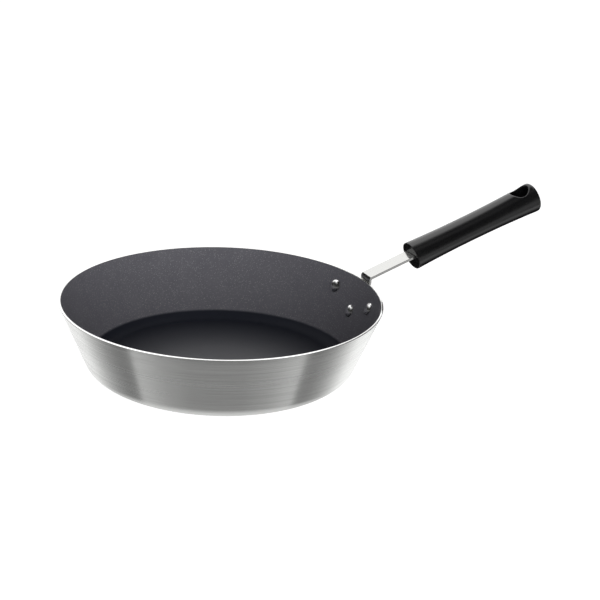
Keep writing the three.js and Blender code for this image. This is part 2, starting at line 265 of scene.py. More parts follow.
def lengths_along(path):
    """Distance along a path at each of its points."""
    return np.concatenate([[0], np.cumsum(np.linalg.norm(np.diff(path, axis=0), axis=1))])


# Meshes

def wrapped_quads(rows, columns, first=0):
    """Quads of a grid whose columns close on themselves, turned to face out when rows rise round +Z."""
    row, column = np.meshgrid(np.arange(rows - 1), np.arange(columns), indexing="ij")
    onward = (column + 1) % columns
    corners = [row * columns + column, row * columns + onward]
    corners += [(row + 1) * columns + onward, (row + 1) * columns + column]
    return first + np.stack(corners, -1).reshape(-1, 4)


def turned(profile, segments):
    """Surface of revolution: a profile of (radius, height) from axis to axis, carried round +Z.

    The brush coordinates are the direction round the axis on a circle of the largest radius, and the
    distance along the profile, so that lines drawn along the first two run round the piece without a seam.
    """
    angle = np.linspace(0, 2 * math.pi, segments, endpoint=False)
    round_axis = np.stack([np.cos(angle), np.sin(angle)], -1)
    rings = profile[1:-1]
    points = np.empty((len(rings), segments, 3))
    points[..., :2] = rings[:, None, :1] * round_axis
    points[..., 2] = rings[:, None, 1]
    brush = np.empty_like(points)
    brush[..., :2] = profile[:, 0].max() * round_axis
    brush[..., 2] = lengths_along(profile)[1:-1, None]
    ends = np.array([[0, 0, profile[0, 1]], [0, 0, profile[-1, 1]]])
    brush_ends = np.array([[0, 0, 0], [0, 0, lengths_along(profile)[-1]]])
    count = len(rings) * segments
    column = np.arange(segments)
    onward = (column + 1) % segments
    last = count - segments
    bottom_fan = np.stack([np.full(segments, count), onward, column], -1)
    top_fan = np.stack([np.full(segments, count + 1), last + column, last + onward], -1)
    return {
        "points": np.concatenate([points.reshape(-1, 3), ends]),
        "faces": [wrapped_quads(len(rings), segments), bottom_fan, top_fan],
        "brush": np.concatenate([brush.reshape(-1, 3), brush_ends]),
    }


def skinned(field, low, high, cell):
    """Closed skin where a field of signed distances is zero, found on a grid of cubes.

    Each cube that the skin crosses gets one point, the mean of the crossings on its twelve edges. Each grid
    edge that crosses the skin gives a quad between the four cubes round it. The points then slide along the
    field's gradient onto the skin, and the gradient gives their normals.
    """
    axes = [np.arange(a, b + cell, cell) for a, b in zip(low, high)]
    nodes = np.stack(np.meshgrid(*axes, indexing="ij"), -1)
    values = field(nodes)
    cubes = tuple(n - 1 for n in values.shape)
    total = np.zeros(cubes + (3,))
    number = np.zeros(cubes)
    crossings = []
    for axis in range(3):
        u, v = (axis + 1) % 3, (axis + 2) % 3
        lower = np.take(values, range(cubes[axis]), axis)
        upper = np.take(values, range(1, cubes[axis] + 1), axis)
        crossed = (lower < 0) != (upper < 0)
        share = np.divide(lower, lower - upper, out=np.zeros_like(lower), where=crossed)
        place = np.take(nodes, range(cubes[axis]), axis).copy()
        place[..., axis] += share * cell
        for du in (0, 1):
            for dv in (0, 1):
                window = [slice(None)] * 3
                window[u] = slice(du, du + cubes[u])
                window[v] = slice(dv, dv + cubes[v])
                here = crossed[tuple(window)]
                number += here
                total += np.where(here[..., None], place[tuple(window)], 0)
        crossings.append((axis, u, v, np.argwhere(crossed), (lower < 0)[crossed]))
    active = number > 0
    index = np.full(cubes, -1)
    index[active] = np.arange(active.sum())
    points = total[active] / number[active][:, None]
    faces = []
    for axis, u, v, edges, rising in crossings:
        corners = []
        for du, dv in ((-1, -1), (0, -1), (0, 0), (-1, 0)):
            cube = edges.copy()
            cube[:, u] += du
            cube[:, v] += dv
            corners.append(index[tuple(cube.T)])
        quads = np.stack(corners, -1)
        quads[~rising] = quads[~rising, ::-1]
        faces.append(quads)
    for _ in range(4):
        slope = gradient(field, points)
        steepness = np.maximum((slope**2).sum(-1), 0.25)
        move = -(field(points) / steepness)[:, None] * slope
        points = points + np.clip(move, -cell, cell)
    slope = gradient(field, points)
    normals = slope / np.linalg.norm(slope, axis=-1, keepdims=True)
    return {"points": points, "faces": faces, "normals": normals, "brush": points}


def gradient(field, points):
    """Slope of a field at points, from its change over a small step either way."""
    shifts = PROBE * np.eye(3)
    return np.stack([(field(points + s) - field(points - s)) / (2 * PROBE) for s in shifts], -1)


def add_piece(name, shape, material, node):
    """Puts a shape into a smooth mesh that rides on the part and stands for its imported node."""
    mesh = bpy.data.meshes.new(name)
    faces = [face for group in shape["faces"] for face in group.tolist()]
    mesh.from_pydata((shape["points"] * MM).tolist(), [], faces)
    mesh.shade_smooth()
    brush = mesh.attributes.new("brush", "FLOAT_VECTOR", "POINT")
    brush.data.foreach_set("vector", shape["brush"].astype(np.float32).ravel())
    if "normals" in shape:
        mesh.normals_split_custom_set_from_vertices(shape["normals"].tolist())
    mesh.materials.append(material)
    piece = bpy.data.objects.new(name, mesh)
    bpy.context.scene.collection.objects.link(piece)
    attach(piece, "root")
    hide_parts(node)
    return piece


# Shapes of the pan

def pan_body_shape():
    """Outer section from the base up to the rim, over its cut face and down the inside, turned round +Z."""
    corners = [(0, 0), floor_corner(0), RIM, wall_point(-WALL_THICKNESS, 0)]
    corners += [floor_corner(WALL_THICKNESS), (0, WALL_THICKNESS)]
    radii = [CORNER_RADIUS, RIM_EDGE_RADIUS, RIM_EDGE_RADIUS, CORNER_RADIUS - WALL_THICKNESS]
    steps = [CORNER_STEPS, EDGE_STEPS, EDGE_STEPS, CORNER_STEPS]
    return turned(rounded_path(corners, radii, steps, PAN_RUN_STEP), PAN_SEGMENTS)


def lining_shape():
    """Thin layer inside the pan, from the floor up the wall to just below the rim."""
    corners = [(0, LINING_INSET), floor_corner(LINING_INSET)]
    corners += [wall_point(-LINING_INSET, LINING_BELOW_RIM), wall_point(-INSIDE_INSET, LINING_BELOW_RIM)]
    corners += [floor_corner(INSIDE_INSET), (0, INSIDE_INSET)]
    radii = [CORNER_RADIUS - LINING_INSET, LINING_EDGE_RADIUS, LINING_EDGE_RADIUS]
    radii += [CORNER_RADIUS - INSIDE_INSET]
    steps = [CORNER_STEPS, LINING_EDGE_STEPS, LINING_EDGE_STEPS, CORNER_STEPS]
    return turned(rounded_path(corners, radii, steps, PAN_RUN_STEP), PAN_SEGMENTS)


# Shapes of the rivets

def rivet_places():
    """Angle round the pan and drop below the rim of each rivet, by its node's name."""
    upper_angle = math.asin(UPPER_RIVET_SPACING / 2 / wall_point(0, UPPER_RIVET_DROP)[0])
    return {
        "rivet_left": (upper_angle, UPPER_RIVET_DROP),
        "rivet_right": (-upper_angle, UPPER_RIVET_DROP),
        "rivet_lower": (0.0, LOWER_RIVET_DROP),
    }


def dome(radius, height, seat):
    """Quarter of an oval from the crown on the axis out to the edge, a little squared off towards it."""
    angle = np.linspace(0, math.pi / 2, DOME_STEPS + 1)
    reach = radius * np.sin(angle) ** DOME_REACH_POWER
    return np.stack([reach, seat + height * np.cos(angle) ** DOME_HEIGHT_POWER], -1)


def rivet_shape(angle, drop):
    """Domed head inside the pan, shank through wall and plate, and the flatter upset end outside.

    The profile is turned about its axis, then its axis is laid along the wall's outward normal.
    """
    head_seat = -INSIDE_INSET - RIVET_SEAT_GAP
    tail_seat = WALL_CLEARANCE + STRAP_THICKNESS + RIVET_SEAT_GAP
    head = dome(RIVET_HEAD_RADIUS, -RIVET_HEAD_HEIGHT, head_seat)
    tail = dome(RIVET_TAIL_RADIUS, RIVET_TAIL_HEIGHT, tail_seat)[::-1]
    shank = np.array([[RIVET_SHANK_RADIUS, head_seat], [RIVET_SHANK_RADIUS, tail_seat]])
    shape = turned(np.concatenate([head, shank, tail]), RIVET_SEGMENTS)
    across, up, out = np.moveaxis(shape["points"], -1, 0)
    radius, height = wall_point(0, drop)
    reach = radius + WALL_OUT[0] * out - WALL_UP[0] * across
    rise = height + WALL_OUT[1] * out - WALL_UP[1] * across
    x = math.cos(angle) * reach - math.sin(angle) * up
    y = math.sin(angle) * reach + math.cos(angle) * up
    shape["points"] = np.stack([x, y, rise], -1)
    return shape


# Shape of the handle bracket

def strap_corners():
    """Corners of the strap's middle line: low on the wall, the knee, the crown and the end of the tang."""
    knee = wall_point(BRACKET_OFFSET, -KNEE_ABOVE_RIM)
    knee_tangent = BEND_RADIUS * math.tan(FLARE / 2)
    crown_tangent = BEND_RADIUS * math.tan((math.pi / 2 - HANDLE_RISE) / 2)
    crown = knee + np.array([0, knee_tangent + UPRIGHT_RUN + crown_tangent])
    end = crown + STRAP_ALONG * (STRAP_REACH + TANG_LENGTH)
    return wall_point(BRACKET_OFFSET, WALL_HEIGHT), knee, crown, end


def strap_line():
    """Middle line of the strap, its bends rounded: how far past the rim each point lies, and the points."""
    path = rounded_path(strap_corners(), [BEND_RADIUS] * 2, BEND_STEPS, STRAP_RUN_STEP)
    return lengths_along(path) - WALL_HEIGHT, path


def bracket_bend(across, up, out):
    """Carries the flat blank of the bracket to its bent shape.

    Across and up lie in the plane that touches the wall at the handle, out is the distance from the
    blank's middle. Below the knee a point goes square to that plane onto the flared wall's parallel surface,
    found by Newton's rule. Above, it follows the strap's middle line and stands off it along its normal.
    """
    offset = BRACKET_OFFSET + out
    depth = offset.copy()
    for _ in range(5):
        x = RIM_RADIUS + up * WALL_UP[0] + depth * WALL_OUT[0]
        reach = np.hypot(x, across)
        rise = up * WALL_UP[1] + depth * WALL_OUT[1]
        miss = (reach - RIM_RADIUS) * WALL_OUT[0] + rise * WALL_OUT[1] - offset
        depth -= miss / (x / reach * WALL_OUT[0] ** 2 + WALL_OUT[1] ** 2)
    neck_start = PLATE_EDGE - UPPER_RIVET_DROP
    fade = np.clip((up - neck_start) / (KNEE_ABOVE_RIM - neck_start), 0, 1)
    depth = depth + (offset - depth) * fade * fade * (3 - 2 * fade)
    above_floor_shade = np.stack([RIM_RADIUS + up * WALL_UP[0] + depth * WALL_OUT[0],
                        WALL_HEIGHT + up * WALL_UP[1] + depth * WALL_OUT[1]], -1)
    along, path = strap_line()
    heading = np.unwrap(np.arctan2(*np.gradient(path, along, axis=0).T[::-1]))
    direction = np.interp(up, along, heading)
    normal = np.stack([np.sin(direction), -np.cos(direction)], -1)
    middle = np.stack([np.interp(up, along, path[:, k]) for k in (0, 1)], -1)
    knee_start = KNEE_ABOVE_RIM - BEND_RADIUS * math.tan(FLARE / 2)
    section = np.where((up < knee_start)[:, None], above_floor_shade, middle + out[:, None] * normal)
    return np.stack([section[:, 0], across, section[:, 1]], -1)


def bracket_loops():
    """Outline of the flat blank and its holes, each a closed loop with its edge rounding.

    The outline is a strap that widens through two fillets into a plate with rounded shoulders and foot: a
    polygon of seven corners, each rounded by its own radius.
    """
    spots = []
    for angle, drop in rivet_places().values():
        radius = wall_point(0, drop)[0]
        curled_in = radius * (math.cos(angle) - 1)
        spots.append(np.array([radius * math.sin(angle), curled_in * WALL_UP[0] - drop]))
    left, _, lower = spots
    top = left[1] + PLATE_EDGE
    along_side = (left - lower) / np.linalg.norm(left - lower)
    side_point = lower - PLATE_EDGE * left_of(along_side)
    shoulder = side_point + along_side * (top - side_point[1]) / along_side[1]
    foot = side_point - along_side * side_point[0] / along_side[0]
    end = strap_line()[0][-1]
    half = STRAP_WIDTH / 2
    mirrored = np.array([-1, 1])
    corners = [(-half, end), (-half, top), shoulder * mirrored, foot, shoulder, (half, top), (half, end)]
    radii = [TANG_CORNER_RADIUS, NECK_FILLET_RADIUS, PLATE_EDGE, PLATE_EDGE, PLATE_EDGE]
    radii += [NECK_FILLET_RADIUS, TANG_CORNER_RADIUS]
    outline = rounded_path(corners, radii, OUTLINE_STEPS, OUTLINE_RUN_STEP, closed=True)
    turn = np.linspace(0, -2 * math.pi, BRACKET_HOLE_SEGMENTS, endpoint=False)
    circle = np.stack([np.cos(turn), np.sin(turn)], -1)
    rivet_hole = RIVET_SHANK_RADIUS + WALL_CLEARANCE
    screw_hole = SCREW_RADIUS + SLOT_CLEARANCE
    holes = [spot + rivet_hole * circle for spot in spots]
    holes.append(np.array([0, end - SCREW_FROM_TANG_END]) + screw_hole * circle)
    return [(outline, STRAP_EDGE_RADIUS)] + [(hole, BRACKET_HOLE_EDGE) for hole in holes]


def outward(loop):
    """Unit directions out of the metal at each point of a loop that keeps the metal on its left."""
    tangent = np.roll(loop, -1, 0) - np.roll(loop, 1, 0)
    return -left_of(tangent / np.linalg.norm(tangent, axis=1, keepdims=True))


def inside_loop(points, loop):
    """Whether points lie inside a closed loop, by counting the edges that a ray along +x crosses."""
    ahead = np.roll(loop, -1, 0)
    x, y = points[:, :1], points[:, 1:]
    spans = (loop[:, 1] > y) != (ahead[:, 1] > y)
    run = (ahead[:, 0] - loop[:, 0]) / np.where(ahead[:, 1] == loop[:, 1], 1, ahead[:, 1] - loop[:, 1])
    crossing = loop[:, 0] + (y - loop[:, 1]) * run
    return (spans & (x < crossing)).sum(1) % 2 == 1


def in_metal(points, loops):
    """Whether points lie inside the first loop, the outline, and in none of the others, the holes."""
    outline, *holes = loops
    inside = inside_loop(points, outline)
    for hole in holes:
        inside &= ~inside_loop(points, hole)
    return inside


def flat_face(loops, spacing):
    """Triangles that fill the outline without its holes, on the loops and an even field of inner points."""
    low, high = loops[0].min(0), loops[0].max(0)
    rows = np.arange(low[1], high[1], spacing * math.sqrt(3) / 2)
    columns = np.arange(low[0], high[0], spacing)
    x, y = np.meshgrid(columns, rows)
    x = x + np.where(np.arange(len(rows)) % 2, spacing / 2, 0)[:, None]
    field = np.stack([x.ravel(), y.ravel()], -1)
    field = field[in_metal(field, loops)]
    rims = np.concatenate(loops)
    nearest = np.array([np.min(np.hypot(*(rims - point).T)) for point in field])
    field = field[nearest > spacing / 2]
    edges = []
    first = 0
    for loop in loops:
        place = np.arange(len(loop))
        edges += np.stack([first + place, first + (place + 1) % len(loop)], -1).tolist()
        first += len(loop)
    places = np.concatenate([rims, field])
    points, _, faces = delaunay_2d_cdt(places.tolist(), edges, [], 0, 1e-6)[:3]
    triangles = np.array(faces)
    middles = np.array(points)[triangles].mean(1)
    return np.array(points), triangles[in_metal(middles, loops)]


def bracket_shape():
    """One bent pressing: two parallel faces of a flat blank, joined by rounded edges, then bent as a whole.

    An edge runs from one face to the other through a quarter circle, a straight middle and another quarter
    circle: at each step a loop is drawn in by some of the edge radius and lies at its own height.
    """
    loops = bracket_loops()
    half = STRAP_THICKNESS / 2
    quarter = np.linspace(0, math.pi / 2, EDGE_STEPS + 1)
    turns = [(turn, -1) for turn in quarter[1:]] + [(math.pi - turn, 1) for turn in quarter[:0:-1]]
    faces_loops = [loop - edge * outward(loop) for loop, edge in loops]
    flat, triangles = flat_face(faces_loops, BRACKET_MESH)
    count = len(flat)
    across_up = [flat, flat]
    out = [np.full(count, -half), np.full(count, half)]
    aside = [np.zeros_like(flat), np.zeros_like(flat)]
    facing = [np.full(count, -1.0), np.full(count, 1.0)]
    quads = [triangles[:, ::-1], count + triangles]
    first = 0
    made = 2 * count
    for loop, edge in loops:
        size = len(loop)
        away = outward(loop)
        lower_ring = first + np.arange(size)
        rings = [lower_ring]
        for turn, side in turns:
            drawn_in = edge * (1 - math.sin(turn))
            height = side * (half - edge) - math.cos(turn) * edge
            across_up.append(loop - drawn_in * away)
            out.append(np.full(size, height))
            aside.append(math.sin(turn) * away)
            facing.append(np.full(size, -math.cos(turn)))
            rings.append(made + np.arange(size))
            made += size
        rings.append(count + lower_ring)
        for below, above in zip(rings[:-1], rings[1:]):
            ahead, ahead_above = np.roll(below, -1), np.roll(above, -1)
            quads.append(np.stack([below, ahead, ahead_above, above], -1))
        first += size
    across_up, out = np.concatenate(across_up), np.concatenate(out)
    aside, facing = np.concatenate(aside), np.concatenate(facing)
    return {
        "points": bracket_bend(across_up[:, 0], across_up[:, 1], out),
        "faces": quads,
        "normals": bent_normals(across_up, out, aside, facing),
        "brush": np.stack([across_up[:, 1], np.zeros(len(out)), across_up[:, 0]], -1),
    }


def bent_normals(across_up, out, aside, facing):
    """Normals of the bent blank: how its directions square to the face and across the edge turn with it."""
    across, up = across_up.T
    through = bracket_bend(across, up, out + PROBE) - bracket_bend(across, up, out - PROBE)
    forward = bracket_bend(*(across_up + PROBE * aside).T, out)
    backward = bracket_bend(*(across_up - PROBE * aside).T, out)
    normals = (facing[:, None] * through + forward - backward) / (2 * PROBE)
    return normals / np.linalg.norm(normals, axis=1, keepdims=True)


# Shapes of the grip and its screw, in the grip's frame: from the centre of the front face, +x along the grip

def on_part(place):
    """Carries places from the grip's frame to the part's."""
    x, y, z = np.moveaxis(place, -1, 0)
    front = strap_corners()[2] + STRAP_REACH * STRAP_ALONG + STRAP_ABOVE_GRIP_AXIS * STRAP_DOWN
    section = front + x[..., None] * STRAP_ALONG - z[..., None] * STRAP_DOWN
    return np.stack([section[..., 0], y, section[..., 1]], -1)


def carried(shape):
    """A shape made in the grip's frame, carried to the part's with its normals."""
    origin = on_part(np.zeros(3))
    shape["normals"] = on_part(shape["normals"]) - origin
    shape["points"] = on_part(shape["points"])
    return shape


def grip_half_size(x, sizes):
    """Half of a width or height along the grip: the parabola through its front, halfway and tail values."""
    front, waist, tail = sizes
    share = x / GRIP_LENGTH
    at_front = (1 - share) * (1 - 2 * share)
    at_waist = 4 * share * (1 - share)
    at_tail = share * (2 * share - 1)
    return (front * at_front + waist * at_waist + tail * at_tail) / 2


def oval_distance(a, b, half_a, half_b):
    """Distance from an oval, to first order: (ratio - 1) times the ratio over its slope."""
    ratio = np.sqrt((a / half_a) ** 2 + (b / half_b) ** 2)
    slope = np.sqrt((a / half_a**2) ** 2 + (b / half_b**2) ** 2)
    return (ratio - 1) * np.maximum(ratio, 1e-6) / np.maximum(slope, 1e-6)


def rounded_overlap(first, second, radius):
    """Distance of what two solids share, with the edge where they meet rounded by a radius."""
    corner = np.hypot(np.maximum(first + radius, 0), np.maximum(second + radius, 0))
    return np.minimum(np.maximum(first, second), -radius) + corner


def slab(value, low, high):
    """Distance from the space between two parallel planes."""
    return np.maximum(low - value, value - high)


def screw_heights():
    """Heights of the screw's head, from its lowest face to its seat, and of its tip."""
    bottom = SCREW_HEAD_RECESS - grip_half_size(SCREW_PLACE, GRIP_HEIGHTS)
    tip = STRAP_ABOVE_GRIP_AXIS + STRAP_THICKNESS / 2 + SCREW_REACH
    return bottom, bottom + SCREW_HEAD_HEIGHT, tip


def hole_half_width(z):
    """Half width of the hanging hole, which narrows evenly from its upper mouth to its lower one."""
    upper = grip_half_size(HOLE_CENTRE, GRIP_WIDTHS) - HOLE_SIDE_WALL
    lower = HOLE_LOWER_WIDTH / 2
    return (upper + lower) / 2 + (upper - lower) / 2 * z / grip_half_size(HOLE_CENTRE, GRIP_HEIGHTS)


def grip_field(place):
    """Oval bar with rounded ends, less the hanging hole, the tang's slot and the screw's stepped bore."""
    x, y, z = np.moveaxis(place, -1, 0)
    skin = oval_distance(y, z, grip_half_size(x, GRIP_WIDTHS), grip_half_size(x, GRIP_HEIGHTS))
    bar = rounded_overlap(skin, -x, GRIP_FRONT_EDGE)
    bar = rounded_overlap(bar, x - GRIP_LENGTH, GRIP_TAIL_EDGE)
    hole = oval_distance(x - HOLE_CENTRE, y, HOLE_LENGTH / 2, hole_half_width(z))
    bar = rounded_overlap(bar, -hole, HOLE_EDGE)
    half_slot = STRAP_WIDTH / 2 + SLOT_CLEARANCE
    slot_height = STRAP_THICKNESS / 2 + SLOT_CLEARANCE
    slot_section = np.maximum(slab(y, -half_slot, half_slot),
                              slab(z - STRAP_ABOVE_GRIP_AXIS, -slot_height, slot_height))
    slot = np.maximum(slot_section, x - TANG_LENGTH - SLOT_CLEARANCE)
    bar = rounded_overlap(bar, -slot, SLOT_EDGE)
    _, seat, tip = screw_heights()
    from_axis = np.hypot(x - SCREW_PLACE, y)
    bore = np.maximum(from_axis - SCREW_RADIUS - SLOT_CLEARANCE, z - tip - SLOT_CLEARANCE)
    counterbore = np.maximum(from_axis - SCREW_HEAD_RADIUS - SLOT_CLEARANCE, z - seat - SLOT_CLEARANCE)
    bar = np.maximum(bar, -bore)
    return rounded_overlap(bar, -counterbore, 2 * SLOT_EDGE)


def grip_shape():
    """The moulded grip, skinned and carried to its place."""
    margin = 2 * GRIP_CELL
    half_width, half_height = max(GRIP_WIDTHS) / 2 + margin, max(GRIP_HEIGHTS) / 2 + margin
    low = (-margin, -half_width, -half_height)
    return carried(skinned(grip_field, low, (GRIP_LENGTH + margin, half_width, half_height), GRIP_CELL))


def screw_field(place):
    """Domed head with a cross recess, and a threaded shank with a pointed end.

    The thread adds a wave to the shank's radius that goes round once for each pitch along the axis.
    """
    x, y, z = np.moveaxis(place, -1, 0)
    x = x - SCREW_PLACE
    bottom, seat, tip = screw_heights()
    from_axis = np.hypot(x, y)
    crown = np.hypot(from_axis, z - bottom - SCREW_CROWN_RADIUS) - SCREW_CROWN_RADIUS
    head = rounded_overlap(from_axis - SCREW_HEAD_RADIUS, slab(z, bottom, seat), SCREW_HEAD_EDGE)
    head = np.maximum(head, crown)
    deep = bottom + RECESS_DEPTH
    arm = RECESS_HALF_WIDTH + RECESS_TAPER * (deep - z)
    bar_along = np.maximum(np.abs(x) - RECESS_REACH, np.abs(y) - arm)
    bar_across = np.maximum(np.abs(y) - RECESS_REACH, np.abs(x) - arm)
    recess = np.maximum(np.minimum(bar_along, bar_across), z - deep)
    head = rounded_overlap(head, -recess, RECESS_EDGE)
    thread = THREAD_HALF_DEPTH * np.cos(2 * math.pi * z / THREAD_PITCH - np.arctan2(y, x))
    shank = from_axis - SCREW_RADIUS + THREAD_HALF_DEPTH - thread
    shank = np.maximum(shank, slab(z, seat - SCREW_SHANK_IN_HEAD, tip))
    point = (from_axis - (tip - z) * SCREW_POINT_SLOPE) / math.hypot(1, SCREW_POINT_SLOPE)
    return np.minimum(head, np.maximum(shank, point))


def screw_shape():
    """The grip screw, skinned and carried to its place."""
    bottom, _, tip = screw_heights()
    margin = 3 * SCREW_CELL
    reach = SCREW_HEAD_RADIUS + margin
    low = (SCREW_PLACE - reach, -reach, bottom - margin)
    high = (SCREW_PLACE + reach, reach, tip + margin)
    return carried(skinned(screw_field, low, high, SCREW_CELL))


# Shader helpers

def set_inputs(tree, node, inputs):
    """Gives each input of a node, by name or place, a value or a link from another node's output."""
    for name, value in inputs.items():
        if isinstance(value, bpy.types.NodeSocket):
            tree.links.new(value, node.inputs[name])
        else:
            node.inputs[name].default_value = value


def add_node(tree, kind, inputs=None, **settings):
    """One node with its settings and inputs."""
    node = tree.nodes.new(kind)
    for name, value in settings.items():
        setattr(node, name, value)
    set_inputs(tree, node, inputs or {})
    return node


def calculate(tree, operation, *values):
    """Result of a Math node."""
    return add_node(tree, "ShaderNodeMath", dict(enumerate(values)), operation=operation).outputs[0]


def length(tree, first, second):
    """Length of a level vector, from its two components."""
    squares = [calculate(tree, "MULTIPLY", side, side) for side in (first, second)]
    return calculate(tree, "SQRT", calculate(tree, "ADD", *squares))


def grey(level):
    """Neutral colour of a level."""
    return (level, level, level, 1)


def remap(tree, value, low, high, to_low=0.0, to_high=1.0, smooth=False):
    """Value carried from one range to another and held within it."""
    inputs = {"Value": value, "From Min": low, "From Max": high, "To Min": to_low, "To Max": to_high}
    kind = "SMOOTHSTEP" if smooth else "LINEAR"
    return add_node(tree, "ShaderNodeMapRange", inputs, interpolation_type=kind).outputs["Result"]


def mix_colours(tree, share, first, second):
    """Two colours mixed by a share of the second."""
    inputs = {0: share, 6: first, 7: second}
    return add_node(tree, "ShaderNodeMix", inputs, data_type="RGBA").outputs[2]


def brush_place(tree):
    """The piece's own coordinates along and across its brushing, in millimetres."""
    return add_node(tree, "ShaderNodeAttribute", attribute_name="brush").outputs["Vector"]


def object_place(tree):
    """Place on the piece, in metres in the part's frame."""
    return add_node(tree, "ShaderNodeTexCoord").outputs["Object"]


def new_group(name, inputs, outputs):
    """Empty node group with named float or vector inputs and float outputs, and its two end nodes."""
    tree = bpy.data.node_groups.new(name, "ShaderNodeTree")
    for label, kind in inputs.items():
        tree.interface.new_socket(label, in_out="INPUT", socket_type=kind)
    for label in outputs:
        tree.interface.new_socket(label, in_out="OUTPUT", socket_type="NodeSocketFloat")
    return tree, tree.nodes.new("NodeGroupInput"), tree.nodes.new("NodeGroupOutput")


def brushing_group():
    """Fine lines of uneven length and depth, as left by a belt or a turning pad."""
    inputs = {"Place": "NodeSocketVector", "Length": "NodeSocketFloat", "Pitch": "NodeSocketFloat"}
    tree, start, end = new_group("brushing", inputs, ["Lines", "Bands"])
    along = calculate(tree, "DIVIDE", 1.0, start.outputs["Length"])
    across = calculate(tree, "DIVIDE", 1.0, start.outputs["Pitch"])
    stretch = add_node(tree, "ShaderNodeCombineXYZ", {"X": along, "Y": along, "Z": across}).outputs[0]
    inputs = {0: start.outputs["Place"], 1: stretch}
    place = add_node(tree, "ShaderNodeVectorMath", inputs, operation="MULTIPLY").outputs[0]
    fine = {"Vector": place, "Scale": 1.0, "Detail": 4.0, "Roughness": 0.7}
    broad = {"Vector": place, "Scale": 0.13, "Detail": 2.0, "Roughness": 0.5}
    lines = add_node(tree, "ShaderNodeTexNoise", fine).outputs[0]
    bands = add_node(tree, "ShaderNodeTexNoise", broad).outputs[0]
    tree.links.new(lines, end.inputs["Lines"])
    tree.links.new(bands, end.inputs["Bands"])
    return tree


def grain_group():
    """Fine pebbled grain of a sprayed or moulded skin, with a slow unevenness from place to place."""
    inputs = {"Place": "NodeSocketVector", "Size": "NodeSocketFloat"}
    tree, start, end = new_group("grain", inputs, ["Height", "Unevenness"])
    fine = {"Vector": start.outputs["Place"], "Detail": 3.0, "Roughness": 0.6}
    fine["Scale"] = calculate(tree, "DIVIDE", 1.0, start.outputs["Size"])
    slow = {"Vector": start.outputs["Place"], "Scale": 45.0, "Detail": 3.0, "Roughness": 0.6}
    tree.links.new(add_node(tree, "ShaderNodeTexNoise", fine).outputs[0], end.inputs["Height"])
    tree.links.new(add_node(tree, "ShaderNodeTexNoise", slow).outputs[0], end.inputs["Unevenness"])
    return tree


def use_group(tree, group, inputs):
    """Outputs of a group placed in a material with its own values."""
    return add_node(tree, "ShaderNodeGroup", inputs, node_tree=group).outputs


def bumped(tree, height, strength, distance):
    """Normal of a surface raised by a height of 0 to 1 times a distance in metres."""
    inputs = {"Height": height, "Strength": strength, "Distance": distance}
    return add_node(tree, "ShaderNodeBump", inputs).outputs["Normal"]


def new_material(name):
    """Material with its node tree and its Principled shader."""
    material = bpy.data.materials.new(name)
    material.use_nodes = True
    return material, material.node_tree, material.node_tree.nodes["Principled BSDF"]


# Materials

def brushed_aluminium(brushing):
    """Bare aluminium turned against a fine pad: lines run round the pan and draw its reflections upright.
    The rim's top is painted near white as a painted highlight, and made glossier there.
    """
    material, tree, shader = new_material("brushed_aluminium")
    lines = use_group(tree, brushing, {"Place": brush_place(tree), "Length": 110.0, "Pitch": 0.8})
    height = add_node(tree, "ShaderNodeSeparateXYZ", {0: object_place(tree)}).outputs["Z"]
    # Painted highlight: the top of the rim is coloured near white, and its roughness is halved there
    rim_painted_highlight = remap(tree, height, (WALL_HEIGHT - RIM_PAINTED_HIGHLIGHT_BAND) * MM, WALL_HEIGHT * MM)
    tint = mix_colours(tree, lines["Lines"], (0.52, 0.53, 0.51, 1), (1.0, 1.0, 0.99, 1))
    brushed = remap(tree, lines["Bands"], 0.3, 0.7, 0.23, 0.28)
    set_inputs(tree, shader, {
        "Base Color": mix_colours(tree, rim_painted_highlight, tint, (0.97, 0.97, 0.96, 1)),
        "Metallic": 1.0,
        "Roughness": calculate(tree, "MULTIPLY", brushed, remap(tree, rim_painted_highlight, 0.0, 1.0, 1.0, 0.5)),
        "Anisotropic": 0.93,
        "Anisotropic Rotation": 0.25,
        "Normal": bumped(tree, lines["Lines"], 0.03, 0.00003),
    })
    return material


def speckled_coating(grain):
    """Dark satin non-stick skin, with fine pale flecks on the wall and a floor glossier in its middle. The
    floor is painted far darker than the wall: painted shade on the one coating.
    """
    material, tree, shader = new_material("nonstick_coating")
    place = object_place(tree)
    skin = use_group(tree, grain, {"Place": place, "Size": 0.0009})
    cells = add_node(tree, "ShaderNodeTexVoronoi", {"Vector": place, "Scale": 1000.0, "Randomness": 1.0})
    chance = add_node(tree, "ShaderNodeSeparateColor", {0: cells.outputs["Color"]}).outputs[0]
    chosen = remap(tree, chance, 0.5, 0.95)
    fleck = remap(tree, cells.outputs["Distance"], 0.18, 0.42, 1.0, 0.0)
    flecks = calculate(tree, "MULTIPLY", fleck, chosen)
    x, y, height = add_node(tree, "ShaderNodeSeparateXYZ", {0: place}).outputs
    above_floor_shade = remap(tree, height, *COATING_FLOOR_SHADE_FADE, smooth=True)
    wall = mix_colours(tree, skin["Unevenness"], (0.094, 0.092, 0.106, 1), (0.116, 0.114, 0.128, 1))
    wall = mix_colours(tree, flecks, wall, (0.25, 0.25, 0.26, 1))
    # Painted shade: the floor gets a much darker copy of the coating's colour than the wall, blending into
    # it between the fade heights
    floor = mix_colours(tree, skin["Unevenness"], (0.013, 0.0145, 0.021, 1), (0.016, 0.0175, 0.024, 1))
    set_inputs(tree, shader, {
        "Base Color": mix_colours(tree, above_floor_shade, floor, wall),
        "Roughness": remap(tree, skin["Height"], 0.2, 0.8, 0.36, 0.44),
        "IOR": 1.7,
        "Specular IOR Level": remap(tree, length(tree, x, y), *COATING_GLOSS_FADE, 0.5, 0.03),
        "Normal": bumped(tree, skin["Height"], 0.25, 0.00006),
    })
    return material


